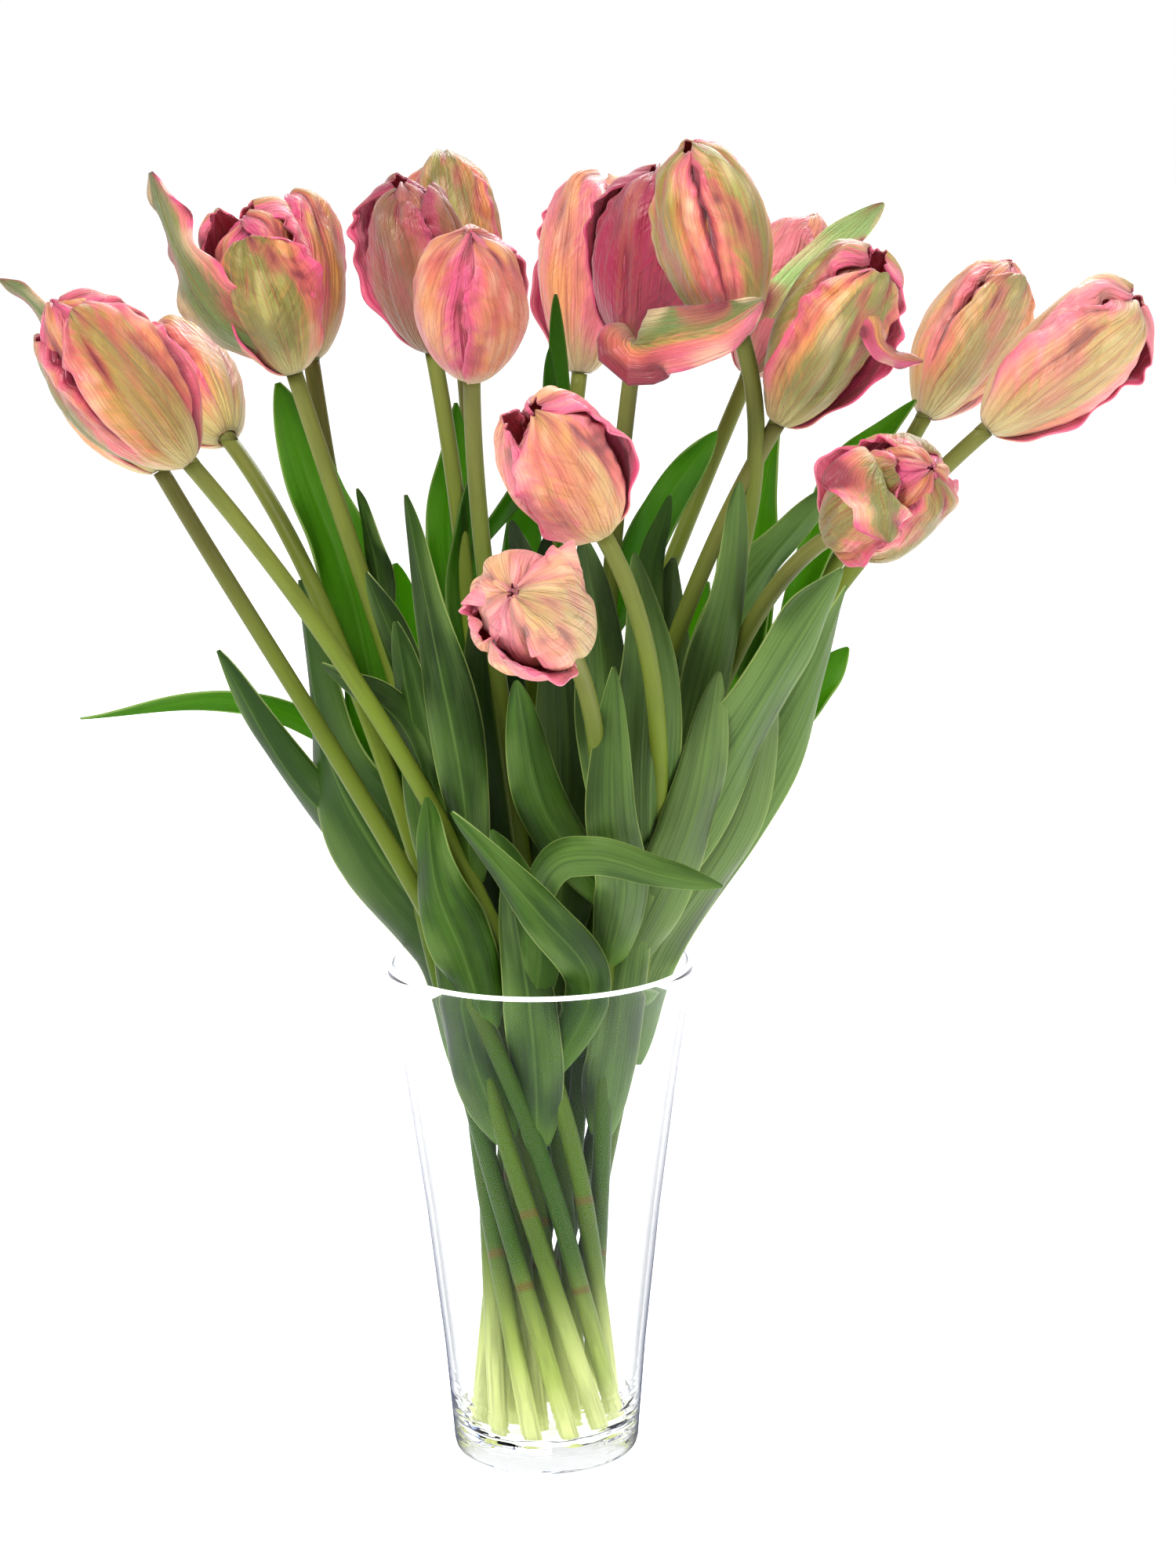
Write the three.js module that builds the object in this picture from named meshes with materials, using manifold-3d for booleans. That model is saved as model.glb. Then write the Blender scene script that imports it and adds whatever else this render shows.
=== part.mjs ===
// Eighteen cut tulips with ruffled, flamed blooms, standing in a tapered clear glass vase.
// Millimetres, +Z up, the foot of the vase centred on the origin, the viewer on the -Y side.
import * as THREE from "three";
import { mergeVertices } from "three/addons/utils/BufferGeometryUtils.js";
import Module from "manifold-3d";

const wasm = await Module();
wasm.setup();

// Driving dimensions of the vase
const VASE_HEIGHT = 250;
const RIM_RADIUS = 74;
const FOOT_RADIUS = 45.5;
const WALL = 2.8;
const BASE_THICKNESS = 14;
const VASE_SIDES = 32;

// Driving dimensions of the bunch
const SEAT_GAP = 0.3;
const STEM_RADIUS = 4.7;
const STEM_SIDES = 6;
const STEM_STEPS = 5;
const WAIST_HEIGHT = 115;
const OUTER_RING = 27;
const INNER_RING = 13.5;
const FOOT_SPREAD = 1.3;
const FOOT_TURN = 55;
const WAIST_TURN = 95;
const STRAIGHT_END = 6;
const PETAL_THICKNESS = 1.1;
const LEAF_THICKNESS = 1.0;

// Each tulip: where its stem stands in the ring, its neck, the point its bloom faces,
// the bloom's length, radius, turn about its own axis and how far its mouth has shut.
const TULIPS = [
  { id: "01", ring: OUTER_RING, slot: 230, neck: [-153, -70, 499], tip: [-207, -95, 572],
    long: 95, wide: 28, turn: 300, shut: 0.93, fold: 2.6 },
  { id: "02", ring: OUTER_RING, slot: 200, neck: [-172, -18, 489], tip: [-214, -10, 563],
    long: 84, wide: 25, turn: 30, shut: 0.93, fold: 2.0 },
  { id: "03", ring: OUTER_RING, slot: 170, neck: [-148, 55, 495], tip: [-192, 110, 543],
    long: 84, wide: 25, turn: 80, shut: 0.92, fold: 1.8 },
  { id: "04", ring: INNER_RING, slot: 170, neck: [-110, -5, 532], tip: [-132, -18, 611],
    long: 80, wide: 26, turn: 275, shut: 0.86, fold: 2.6 },
  { id: "05", ring: OUTER_RING, slot: 140, neck: [-107, 60, 532], tip: [-117, 75, 604],
    long: 78, wide: 24, turn: 330, shut: 0.90, fold: 2.0 },
  { id: "06", ring: INNER_RING, slot: 110, neck: [-47, 30, 538], tip: [-60, 20, 619],
    long: 82, wide: 24, turn: 230, shut: 0.90, fold: 2.8 },
  { id: "07", ring: OUTER_RING, slot: 110, neck: [-35, 95, 527], tip: [-44, 100, 635],
    long: 98, wide: 25, turn: 270, shut: 0.90, fold: 2.0 },
  { id: "08", ring: INNER_RING, slot: 230, neck: [-26, -60, 535], tip: [-24, -105, 602],
    long: 80, wide: 26, turn: 335, shut: 0.96, fold: 1.2 },
  { id: "09", ring: OUTER_RING, slot: 80, neck: [22, 105, 520], tip: [34, 120, 614],
    long: 94, wide: 27, turn: 220, shut: 0.90, fold: 2.6 },
  { id: "10", ring: INNER_RING, slot: 290, neck: [48, 26, 537], tip: [60, 20, 624],
    long: 88, wide: 27, turn: 240, shut: 0.92, fold: 2.8 },
  { id: "11", ring: INNER_RING, slot: 50, neck: [96, -30, 549], tip: [79, -48, 634],
    long: 90, wide: 27, turn: 328, shut: 0.95, fold: 2.3 },
  { id: "12", ring: OUTER_RING, slot: 50, neck: [106, 115, 517], tip: [140, 125, 595],
    long: 86, wide: 24, turn: 220, shut: 0.90, fold: 2.0 },
  { id: "13", ring: INNER_RING, slot: 350, neck: [113, -20, 508], tip: [152, -35, 588],
    long: 88, wide: 26, turn: 285, shut: 0.89, fold: 3.0 },
  { id: "14", ring: OUTER_RING, slot: 20, neck: [189, 65, 501], tip: [233, 80, 575],
    long: 86, wide: 24, turn: 300, shut: 0.92, fold: 2.2 },
  { id: "15", ring: OUTER_RING, slot: 350, neck: [212, 0, 502], tip: [277, -10, 561],
    long: 88, wide: 26, turn: 285, shut: 0.91, fold: 2.4 },
  { id: "16", ring: OUTER_RING, slot: 320, neck: [135, -70, 463], tip: [177, -130, 502],
    long: 78, wide: 26, turn: 190, shut: 0.92, fold: 2.8 },
  { id: "17", ring: OUTER_RING, slot: 290, neck: [31, -125, 473], tip: [2, -160, 531],
    long: 72, wide: 26, turn: 300, shut: 0.94, fold: 2.2 },
  { id: "18", ring: OUTER_RING, slot: 260, neck: [12, -150, 431], tip: [-12, -235, 470],
    long: 74, wide: 27, turn: 350, shut: 0.93, fold: 2.6 },
];

// Each leaf: a point near its root, then the points its midrib passes on the way to its tip,
// half its greatest width and its twist in degrees. It grows from the stem that passes nearest its root.
const LEAVES = [
  { via: [[-28, 2, 190], [-41, 0, 250], [-76, 4, 300], [-100, 6, 352], [-111, 8, 433]], half: 25, twist: 25 },
  { via: [[-30, 18, 205], [-46, 20, 250], [-78, 22, 290], [-118, 20, 335], [-152, 18, 398]], half: 16, twist: 10 },
  { via: [[-48, 34, 300], [-100, 42, 350], [-152, 40, 370], [-222, 36, 362]], half: 6, twist: 60 },
  { via: [[-52, 20, 340], [-87, 22, 420], [-104, 28, 470], [-121, 30, 524]], half: 17, twist: 25 },
  { via: [[-66, 8, 400], [-75, 10, 440], [-83, 10, 476]], half: 6, twist: 20 },
  { via: [[-40, -8, 330], [-56, -14, 378], [-78, -16, 440]], half: 10, twist: 10 },
  { via: [[-46, -30, 330], [-62, -38, 372], [-98, -42, 402]], half: 9, twist: 20 },
  { via: [[-27, -50, 300], [-34, -58, 350], [-44, -60, 410], [-57, -54, 481]], half: 12, twist: 20 },
  { via: [[-34, 44, 380], [-42, 62, 440], [-38, 66, 510]], half: 13, twist: -20 },
  { via: [[-30, 24, 380], [-34, 32, 425], [-27, 34, 486]], half: 10, twist: 15 },
  { via: [[-6, 34, 380], [-10, 48, 425], [-5, 52, 478]], half: 11, twist: -15 },
  { via: [[4, -20, 400], [-4, -30, 435], [-10, -34, 466]], half: 7, twist: 10 },
  { via: [[8, 8, 380], [6, 4, 420], [6, 0, 455]], half: 7, twist: 0 },
  { via: [[34, -44, 345], [31, -58, 400], [23, -60, 463]], half: 12, twist: 15 },
  { via: [[34, -52, 250], [40, -78, 300], [35, -90, 340], [36, -88, 407]], half: 13, twist: -10 },
  { via: [[46, -46, 280], [52, -66, 342], [54, -72, 400], [46, -66, 455]], half: 15, twist: -20 },
  { via: [[56, -20, 300], [76, -32, 370], [90, -36, 430], [95, -36, 483]], half: 11, twist: 20 },
  { via: [[58, -34, 285], [82, -52, 345], [112, -62, 400], [140, -60, 446]], half: 18, twist: -25 },
  { via: [[40, -8, 200], [49, -8, 250], [92, -14, 318], [124, -12, 375], [146, -8, 430]], half: 21, twist: -30 },
  { via: [[84, 18, 320], [126, 26, 365], [150, 30, 394]], half: 11, twist: 0 },
  { via: [[72, 14, 370], [104, 20, 428], [142, 22, 473]], half: 13, twist: -20 },
  { via: [[84, 46, 380], [106, 62, 435], [118, 66, 500]], half: 14, twist: 20 },
  { via: [[46, 34, 400], [62, 48, 460], [88, 56, 496]], half: 10, twist: -20 },
  { via: [[46, 6, 390], [54, 6, 430], [64, 4, 472]], half: 7, twist: 10 },
  { via: [[100, 34, 410], [148, 44, 470], [182, 36, 512]], half: 10, twist: 30 },
  { via: [[8, 60, 440], [12, 66, 500], [11, 62, 562]], half: 6, twist: 10 },
  { via: [[2, 40, 440], [4, 46, 490], [8, 44, 538]], half: 5, twist: 0 },
  { via: [[8, -48, 255], [2, -84, 318], [24, -100, 334], [56, -102, 322], [84, -98, 310]], half: 10, twist: -40 },
  { via: [[-14, -38, 225], [-34, -52, 262], [-46, -62, 300], [-50, -60, 342]], half: 15, twist: 20 },
  { via: [[6, -44, 230], [0, -64, 280], [-20, -80, 331]], half: 10, twist: 10 },
  { via: [[10, -44, 290], [2, -62, 340], [-8, -70, 398]], half: 12, twist: -10 },
  { via: [[18, -42, 200], [24, -60, 252], [0, -92, 296], [-37, -104, 345]], half: 11, twist: 30 },
  { via: [[0, 30, 220], [2, 60, 300], [6, 78, 370], [0, 88, 440]], half: 20, twist: 20 },
  { via: [[-25, 30, 220], [-46, 58, 300], [-62, 72, 370], [-70, 78, 430]], half: 19, twist: -20 },
  { via: [[30, 28, 220], [52, 52, 300], [70, 66, 360], [84, 74, 420]], half: 20, twist: 20 },
  { via: [[-22, -20, 230], [-36, -32, 290], [-52, -38, 350], [-64, -36, 420]], half: 17, twist: 20 },
  { via: [[-10, 5, 230], [-14, 0, 300], [-20, -6, 370], [-22, -8, 440]], half: 19, twist: -20 },
  { via: [[10, -10, 230], [12, -20, 300], [14, -26, 360], [10, -30, 430]], half: 18, twist: 20 },
  { via: [[30, 10, 230], [44, 16, 300], [58, 20, 370], [66, 20, 440]], half: 19, twist: -20 },
  { via: [[40, 25, 240], [70, 42, 310], [96, 50, 370], [112, 54, 430]], half: 18, twist: 20 },
  { via: [[-35, 10, 240], [-62, 32, 310], [-84, 44, 370], [-98, 50, 440]], half: 17, twist: -20 },
  { via: [[36, -30, 240], [56, -52, 290], [74, -64, 340], [84, -64, 400]], half: 15, twist: 20 },
  { via: [[46, -20, 230], [56, -26, 262], [94, -34, 325], [114, -30, 398]], half: 16, twist: -10 },
  { via: [[-16, -24, 165], [-30, -34, 205], [-38, -40, 250], [-48, -56, 330]], half: 14, twist: 15 },
  { via: [[4, -27, 165], [-2, -42, 205], [-6, -50, 250], [-14, -66, 310]], half: 13, twist: -15 },
  { via: [[22, -16, 165], [34, -30, 205], [40, -40, 250], [52, -60, 320]], half: 13, twist: 20 },
];

// Petals that leave the cup: the bloom they belong to, the points along each and its half width
const LOOSE_PETALS = [
  { of: "04", via: [[-114, -10, 538], [-140, -28, 556], [-158, -34, 588], [-170, -30, 625]], half: 14, twist: 20 },
  { of: "10", via: [[48, 16, 544], [46, -40, 546], [60, -66, 550], [86, -70, 556], [104, -68, 568]], half: 15, twist: 10 },
  { of: "13", via: [[117, -28, 516], [148, -50, 545], [165, -50, 564], [172, -48, 552], [177, -46, 538]], half: 8, twist: 20 },
  { of: "12", via: [[107, 110, 522], [122, 96, 547], [142, 92, 574], [170, 94, 602]], half: 12, twist: 10 },
  { of: "02", via: [[-178, -22, 496], [-208, -36, 540], [-226, -26, 566], [-243, -14, 577]], half: 7, twist: 20 },
];

const v3 = (a) => new THREE.Vector3(a[0], a[1], a[2]);
const radians = (degrees) => (degrees * Math.PI) / 180;

// A closed solid from a geometry, with its faces turned outwards
function solidFrom(geometry) {
  const bare = new THREE.BufferGeometry();
  bare.setAttribute("position", geometry.getAttribute("position"));
  bare.setIndex(geometry.index);
  const merged = mergeVertices(bare, 1e-3);
  const kept = [];
  const corner = merged.index.array;
  for (let i = 0; i < corner.length; i += 3) {
    const [a, b, c] = [corner[i], corner[i + 1], corner[i + 2]];
    if (a !== b && b !== c && c !== a) kept.push(a, b, c);
  }
  const make = (tris) =>
    new wasm.Manifold(
      new wasm.Mesh({
        numProp: 3,
        vertProperties: new Float32Array(merged.attributes.position.array),
        triVerts: new Uint32Array(tris),
      }),
    );
  const solid = make(kept);
  if (solid.volume() > 0) return solid;
  for (let i = 0; i < kept.length; i += 3) {
    const b = kept[i + 1];
    kept[i + 1] = kept[i + 2];
    kept[i + 2] = b;
  }
  return make(kept);
}

// Joins solids, fills what the joining seals and drops a loose scrap
function fuse(solids) {
  let joined = solids[0];
  for (const other of solids.slice(1)) joined = joined.add(other);
  let largest = null;
  for (const body of joined.decompose())
    if (!largest || body.volume() > largest.volume()) largest = body;
  return largest;
}

// A waved blade: one surface given both faces, the same triangles on each
function blade(pointAt, thickness, columns, rows) {
  const top = [];
  const bottom = [];
  const step = 1e-3;
  for (let j = 0; j <= rows; j++) {
    for (let i = 0; i <= columns; i++) {
      const s = -1 + (2 * i) / columns;
      const t = j / rows;
      const here = pointAt(s, t);
      const acrossS = pointAt(Math.min(s + step, 1), t).sub(pointAt(Math.max(s - step, -1), t));
      const alongT = pointAt(s, Math.min(t + step, 1)).sub(pointAt(s, Math.max(t - step, 0)));
      const normal = acrossS.cross(alongT).normalize();
      top.push(here.clone().addScaledVector(normal, thickness / 2));
      bottom.push(here.clone().addScaledVector(normal, -thickness / 2));
    }
  }
  const points = top.concat(bottom);
  const offset = top.length;
  const wide = columns + 1;
  const index = [];
  const quad = (a, b, c, d) => index.push(a, b, c, a, c, d);
  for (let j = 0; j < rows; j++) {
    for (let i = 0; i < columns; i++) {
      const a = j * wide + i;
      quad(a, a + 1, a + wide + 1, a + wide);
      index.push(a + offset, a + wide + 1 + offset, a + 1 + offset);
      index.push(a + offset, a + wide + offset, a + wide + 1 + offset);
    }
  }
  for (let j = 0; j < rows; j++) {
    const left = j * wide;
    const right = left + columns;
    quad(left + wide, left + wide + offset, left + offset, left);
    quad(right, right + offset, right + wide + offset, right + wide);
  }
  for (let i = 0; i < columns; i++) {
    const far = rows * wide + i;
    quad(i, i + offset, i + 1 + offset, i + 1);
    quad(far + 1, far + 1 + offset, far + offset, far);
  }
  const geometry = new THREE.BufferGeometry();
  const flat = new Float32Array(points.length * 3);
  points.forEach((p, i) => flat.set([p.x, p.y, p.z], i * 3));
  geometry.setAttribute("position", new THREE.BufferAttribute(flat, 3));
  geometry.setIndex(index);
  return solidFrom(geometry);
}

// A round rod through the given points, its lower end cut level where asked
function rod(points, radiusAt, sides, levelCut) {
  const flat = [];
  const index = [];
  const last = points.length - 1;
  let side = new THREE.Vector3(1, 0, 0);
  points.forEach((p, j) => {
    const ahead = points[Math.min(j + 1, last)].clone().sub(points[Math.max(j - 1, 0)]).normalize();
    side = side.addScaledVector(ahead, -side.dot(ahead)).normalize();
    const other = ahead.clone().cross(side);
    const r = radiusAt(j / last);
    for (let i = 0; i < sides; i++) {
      const turn = (2 * Math.PI * (i + 0.5)) / sides;
      const q = p.clone().addScaledVector(side, r * Math.cos(turn));
      q.addScaledVector(other, r * Math.sin(turn));
      if (levelCut && j === 0) q.addScaledVector(ahead, (p.z - q.z) / ahead.z);
      flat.push(q.x, q.y, q.z);
    }
  });
  for (let j = 0; j < last; j++) {
    for (let i = 0; i < sides; i++) {
      const a = j * sides + i;
      const b = j * sides + ((i + 1) % sides);
      index.push(a, b, b + sides, a, b + sides, a + sides);
    }
  }
  for (let i = 1; i < sides - 1; i++) {
    index.push(0, i + 1, i);
    index.push(last * sides, last * sides + i, last * sides + i + 1);
  }
  const geometry = new THREE.BufferGeometry();
  geometry.setAttribute("position", new THREE.Float32BufferAttribute(flat, 3));
  geometry.setIndex(index);
  return solidFrom(geometry);
}

// The line of a stem: straight from its cut end through the waist, then a curve out to the neck
function stemLine(tulip) {
  const at = (radius, degrees, height) =>
    new THREE.Vector3(radius * Math.cos(radians(degrees)), radius * Math.sin(radians(degrees)), height);
  const waistTurn = tulip.slot + WAIST_TURN;
  const foot = at(tulip.ring * FOOT_SPREAD, waistTurn + FOOT_TURN, BASE_THICKNESS + SEAT_GAP);
  const waist = at(tulip.ring, waistTurn, WAIST_HEIGHT);
  const neck = v3(tulip.neck);
  const axis = v3(tulip.tip).sub(neck).normalize();
  const end = neck.clone().addScaledVector(axis, -STRAIGHT_END);
  const reach = end.distanceTo(waist);
  const first = waist.clone().sub(foot).normalize().multiplyScalar(reach * 0.36).add(waist);
  const second = end.clone().addScaledVector(axis, -reach * (tulip.arch || 0.3));
  const curve = new THREE.CubicBezierCurve3(waist, first, second, end);
  return { foot, curve, top: neck.clone().addScaledVector(axis, -SEAT_GAP) };
}

function stemPoints(line) {
  const points = [line.foot];
  for (let i = 0; i <= STEM_STEPS; i++) points.push(line.curve.getPoint(i / STEM_STEPS));
  points.push(line.top);
  return points;
}

// A petal of the cup: s runs across it, t from its root to its lip, inset is how far in its layer lies
function petalAt(tulip, frame, inset, cover, around, seed) {
  const reach = (tulip.long - 6) * (1 - 0.05 * Math.sin(9 * seed) - 0.05 * inset);
  const spread = 2.5 * (1 - inset) * Math.pow(Math.sin(7 * seed), 2);
  return (s, t) => {
    const swell = Math.sin(Math.PI * tulip.shut * Math.pow(t, 0.75));
    let r = tulip.wide * (0.19 * (1 - 0.7 * t) + (0.81 - 0.14 * inset) * swell);
    r += spread * t * t * t - 2.6 * inset * (1 - 0.4 * t);
    const taper = Math.pow(Math.sin(Math.PI * Math.pow(t * 0.93 + 0.04, 0.8)), 0.45);
    const half = Math.min(cover * tulip.wide * taper, 0.98 * r - 0.8);
    const angle = radians(around) + (s * half) / r;
    const folds = tulip.fold * Math.sin(Math.PI * (2.6 * s + seed)) * Math.sin(Math.PI * t) * 0.45;
    const lip = 1.2 * Math.pow(Math.abs(s), 3) * t * (1 + Math.sin(9 * t + seed * 5));
    const out = r + folds * (1 - 0.4 * inset) + lip * (1 - inset) + 0.03 * r * s;
    const up = reach * (0.6 * t + 0.4 * Math.sin((Math.PI * t) / 2)) * (1 - 0.03 * s * s * s * s);
    return frame.base.clone()
      .addScaledVector(frame.axis, 6 + up - 0.5 * half * s * s * Math.pow(t, 8))
      .addScaledVector(frame.side, out * Math.cos(angle))
      .addScaledVector(frame.other, out * Math.sin(angle));
  };
}

function bloomSolid(tulip) {
  const base = v3(tulip.neck);
  const axis = v3(tulip.tip).sub(base).normalize();
  const side = new THREE.Vector3(1, 0, 0).addScaledVector(axis, -axis.x).normalize();
  const other = axis.clone().cross(side);
  const frame = { base, axis, side, other };
  const on = (height) => base.clone().addScaledVector(axis, height);
  const bodies = [rod([on(0), on(8)], (t) => 4.6 + 3.2 * t, 6, false)];
  for (let k = 0; k < 3; k++) {
    const seed = Number(tulip.id) * 0.37 + k * 0.61;
    const around = tulip.turn + 120 * k;
    bodies.push(blade(petalAt(tulip, frame, 0, 1.05, around, seed), PETAL_THICKNESS, 3, 4));
    bodies.push(blade(petalAt(tulip, frame, 1, 0.8, around + 60, seed + 0.3), PETAL_THICKNESS, 2, 2));
  }
  for (const petal of LOOSE_PETALS.filter((p) => p.of === tulip.id))
    bodies.push(blade(strapAt(petal, v3(petal.via[0]), 0.2), PETAL_THICKNESS, 2, 5));
  return fuse(bodies);
}

// A leaf or loose petal: a channelled blade with waved edges along its midrib, its face to the viewer
function strapAt(strap, root, seed) {
  const points = [root].concat(strap.via.slice(1).map(v3));
  const midrib = new THREE.CatmullRomCurve3(points, false, "catmullrom", 0.5);
  return (s, t) => {
    const here = midrib.getPoint(t);
    const along = midrib.getTangent(t);
    const outward = new THREE.Vector3(0.4 * (here.x - 8), points[points.length - 1].y < 25 ? -70 : 70, 10).normalize();
    const across = along.clone().cross(outward).normalize();
    const face = across.clone().cross(along);
    const turn = radians(strap.twist) * (t * t - 0.25);
    const width = across.clone().multiplyScalar(Math.cos(turn)).addScaledVector(face, Math.sin(turn));
    const depth = face.clone().multiplyScalar(Math.cos(turn)).addScaledVector(across, -Math.sin(turn));
    const outline = 0.12 * Math.pow(1 - t, 3) + Math.pow(Math.sin(Math.PI * Math.pow(0.03 + 0.95 * t, 0.85)), 0.75);
    const half = strap.half * Math.max(0.06, outline);
    const wave = 0.14 * Math.abs(s) * Math.sin(2 * Math.PI * (1.6 * t + seed)) * Math.sign(s);
    return here.clone().addScaledVector(width, s * half * 0.97).addScaledVector(depth, half * (-0.3 * s * s + wave));
  };
}

function vaseSolid() {
  const profile = [
    [0, 0], [FOOT_RADIUS - 5, 0], [FOOT_RADIUS - 1.2, 1.8], [FOOT_RADIUS, 6], [FOOT_RADIUS + 3.9, 55], [FOOT_RADIUS + 11.5, 125], [FOOT_RADIUS + 20, 190],
    [RIM_RADIUS, VASE_HEIGHT - 1.4], [RIM_RADIUS - 1.4, VASE_HEIGHT], [RIM_RADIUS - WALL, VASE_HEIGHT - 1.4],
    [FOOT_RADIUS + 20 - WALL, 190], [FOOT_RADIUS + 11.5 - WALL, 125], [FOOT_RADIUS + 3.9 - WALL, 55],
    [FOOT_RADIUS + 1 - WALL, BASE_THICKNESS + 6], [FOOT_RADIUS - WALL - 2, BASE_THICKNESS], [0, BASE_THICKNESS],
  ];
  const lathe = new THREE.LatheGeometry(profile.map((p) => new THREE.Vector2(p[0], p[1])), VASE_SIDES);
  lathe.rotateX(Math.PI / 2);
  return solidFrom(lathe);
}

// Writes a solid as a named mesh
function meshFrom(solid, name, colour) {
  const mesh = solid.getMesh();
  const flat = new Float32Array(mesh.numVert * 3);
  for (let i = 0; i < mesh.numVert; i++)
    flat.set(mesh.vertProperties.subarray(i * mesh.numProp, i * mesh.numProp + 3), i * 3);
  const geometry = new THREE.BufferGeometry();
  geometry.setAttribute("position", new THREE.BufferAttribute(flat, 3));
  geometry.setIndex(new THREE.BufferAttribute(new Uint32Array(mesh.triVerts), 1));
  geometry.computeVertexNormals();
  const made = new THREE.Mesh(geometry, new THREE.MeshStandardMaterial({ color: colour }));
  made.name = name;
  return made;
}

const group = new THREE.Group();
group.add(meshFrom(vaseSolid(), "vase", 0xdde6ea));

const lines = TULIPS.map(stemLine);
const stems = lines.map((line) => [
  rod(stemPoints(line), (t) => STEM_RADIUS * (1 - 0.16 * t), STEM_SIDES, true),
]);
LEAVES.forEach((leaf, k) => {
  const near = v3(leaf.via[0]);
  let best = { gap: Infinity };
  lines.forEach((line, i) => {
    for (let j = 0; j <= 60; j++) {
      const point = line.curve.getPoint(j / 60);
      const gap = point.distanceTo(near);
      if (gap < best.gap) best = { gap, point, i };
    }
  });
  stems[best.i].push(blade(strapAt(leaf, best.point, k * 0.29), LEAF_THICKNESS, 2, leaf.via.length > 4 ? 5 : 4));
});

// Leafy stems whose leaves cross are fused in one node, which names them all
const bunches = [];
stems.forEach((parts, i) => {
  let mine = { ids: [TULIPS[i].id], solid: fuse(parts) };
  for (const other of bunches.slice()) {
    if (other.solid.intersect(mine.solid).volume() > 0.005) {
      mine = { ids: other.ids.concat(mine.ids).sort(), solid: fuse([other.solid, mine.solid]) };
      bunches.splice(bunches.indexOf(other), 1);
    }
  }
  bunches.push(mine);
});
for (const bunch of bunches) {
  const name = (bunch.ids.length > 1 ? "leafy_stems_" : "leafy_stem_") + bunch.ids.join("_");
  group.add(meshFrom(bunch.solid, name, 0x5f8a3c));
}
for (const tulip of TULIPS) group.add(meshFrom(bloomSolid(tulip), "bloom_" + tulip.id, 0xd9808c));

export default group;
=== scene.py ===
import math

import bmesh
import bpy
import numpy as np
from mathutils import Matrix


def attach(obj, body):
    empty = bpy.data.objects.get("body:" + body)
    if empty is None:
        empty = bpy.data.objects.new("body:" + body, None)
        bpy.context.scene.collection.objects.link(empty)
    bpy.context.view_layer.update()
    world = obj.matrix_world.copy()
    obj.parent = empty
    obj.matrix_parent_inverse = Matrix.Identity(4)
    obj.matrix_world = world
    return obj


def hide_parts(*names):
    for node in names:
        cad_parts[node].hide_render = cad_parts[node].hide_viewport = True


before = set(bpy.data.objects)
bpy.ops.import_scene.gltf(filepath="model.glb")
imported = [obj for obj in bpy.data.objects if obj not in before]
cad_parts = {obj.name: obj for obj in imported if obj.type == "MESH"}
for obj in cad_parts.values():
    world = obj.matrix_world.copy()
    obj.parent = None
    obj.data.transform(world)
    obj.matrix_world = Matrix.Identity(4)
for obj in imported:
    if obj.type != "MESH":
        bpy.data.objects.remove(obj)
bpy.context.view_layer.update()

# The camera stands 1.6 m in front of the bunch, a little above it, and looks down on it. It is turned
# by half a degree, because the vase leans to the left in the picture. Its place in metres, its angles
# in degrees and its lens in millimetres were fitted to the ellipses of the vase's rim and foot.
CAMERA_PLACE = (0.024, -1.607, 0.682)
LOOK_DOWN = 12.2
LEAN = -0.62
LENS = 79.2
SENSOR = 36
FARTHEST = 100
scene = bpy.context.scene
scene.view_settings.view_transform = "Standard"
camera_data = bpy.data.cameras.new("camera")
camera_data.lens = LENS
camera_data.sensor_width = SENSOR
camera_data.clip_end = FARTHEST
camera = bpy.data.objects.new("camera", camera_data)
camera.matrix_world = (
    Matrix.Translation(CAMERA_PLACE)
    @ Matrix.Rotation(math.radians(90 - LOOK_DOWN), 4, "X")
    @ Matrix.Rotation(math.radians(LEAN), 4, "Z")
)
scene.collection.objects.link(camera)
scene.camera = camera


# The studio: a matt white floor that runs into a white wall, a broad soft key light from the upper left,
# a weaker fill from the right and one lamp behind. The sides are grey, which the edges of the glass pick
# up, along with a painted grey line in the glass. Floor and lamps are in metres, and the lamps' power is in
# watts.
class Sock:
    """One output of a shader node, on which ordinary arithmetic adds Math nodes."""

    def __init__(self, tree, socket):
        self.tree = tree
        self.socket = socket

    def _two(self, operation, a, b):
        return self.tree.node("ShaderNodeMath", {"operation": operation}, {0: a, 1: b})

    def __add__(self, other):
        return self._two("ADD", self, other)

    def __radd__(self, other):
        return self._two("ADD", other, self)

    def __sub__(self, other):
        return self._two("SUBTRACT", self, other)

    def __rsub__(self, other):
        return self._two("SUBTRACT", other, self)

    def __neg__(self):
        return self._two("SUBTRACT", 0.0, self)

    def __mul__(self, other):
        return self._two("MULTIPLY", self, other)

    def __rmul__(self, other):
        return self._two("MULTIPLY", other, self)

    def __pow__(self, other):
        return self._two("POWER", self, other)

    def __abs__(self):
        return self._two("ABSOLUTE", self, 0.0)

    def rise(self, low, high):
        """A mask that rises smoothly from 0 at the low value to 1 at the high one."""
        settings = {"interpolation_type": "SMOOTHSTEP"}
        sockets = {"Value": self, "From Min": low, "From Max": high, "To Min": 0.0, "To Max": 1.0}
        return self.tree.node("ShaderNodeMapRange", settings, sockets)


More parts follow.
